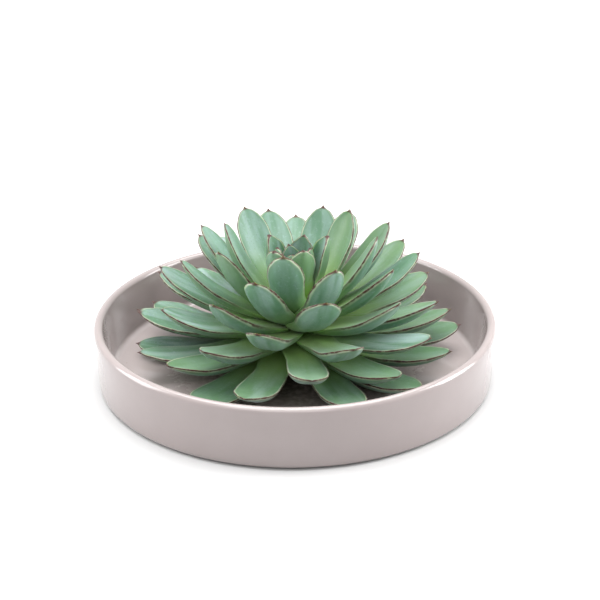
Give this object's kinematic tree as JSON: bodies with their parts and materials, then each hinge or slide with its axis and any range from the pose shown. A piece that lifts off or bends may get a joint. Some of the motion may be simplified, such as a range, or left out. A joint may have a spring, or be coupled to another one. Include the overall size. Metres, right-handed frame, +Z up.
{
  "type": "potted rosette succulent",
  "caption": "Dome-shaped rosette of thick, pointed succulent leaves on a short stem, standing in a low, round, glazed bowl with an upright wall.",
  "frame": {"origin": "middle of the bowl's foot ring, on the surface the bowl stands on", "axes": "+Z up, along the bowl's axis; -Y towards the front; +X to the right seen from the front"},
  "size_m": [0.25, 0.25, 0.1004],
  "materials": {
    "glaze": "gloss",
    "peat": "matte",
    "stem": "matte",
    "heart": "satin",
    "leaf": "satin"
  },
  "bodies": {
    "root": {"bowl": "glaze", "root_ball": "peat", "stem": "stem", "heart_bud": "heart", "leaf_01": "leaf", "leaf_02": "leaf", "leaf_03": "leaf", "leaf_04": "leaf", "leaf_05": "leaf", "leaf_06": "leaf", "leaf_07": "leaf", "leaf_08": "leaf", "leaf_09": "leaf", "leaf_10": "leaf", "leaf_11": "leaf", "leaf_12": "leaf", "leaf_13": "leaf", "leaf_14": "leaf", "leaf_15": "leaf", "leaf_16": "leaf", "leaf_17": "leaf", "leaf_18": "leaf", "leaf_19": "leaf", "leaf_20": "leaf", "leaf_21": "leaf", "leaf_22": "leaf", "leaf_23": "leaf", "leaf_24": "leaf", "leaf_25": "leaf", "leaf_26": "leaf", "leaf_27": "leaf", "leaf_28": "leaf", "leaf_29": "leaf", "leaf_30": "leaf", "leaf_31": "leaf", "leaf_32": "leaf", "leaf_33": "leaf", "leaf_34": "leaf", "leaf_35": "leaf", "leaf_36": "leaf", "leaf_37": "leaf", "leaf_38": "leaf", "leaf_39": "leaf", "leaf_40": "leaf", "leaf_41": "leaf", "leaf_42": "leaf", "leaf_43": "leaf", "leaf_44": "leaf", "leaf_45": "leaf", "leaf_46": "leaf", "leaf_47": "leaf", "leaf_48": "leaf", "leaf_49": "leaf", "leaf_50": "leaf", "leaf_51": "leaf", "leaf_52": "leaf", "leaf_53": "leaf", "leaf_54": "leaf", "leaf_55": "leaf", "leaf_56": "leaf"}
  },
  "joints": []
}
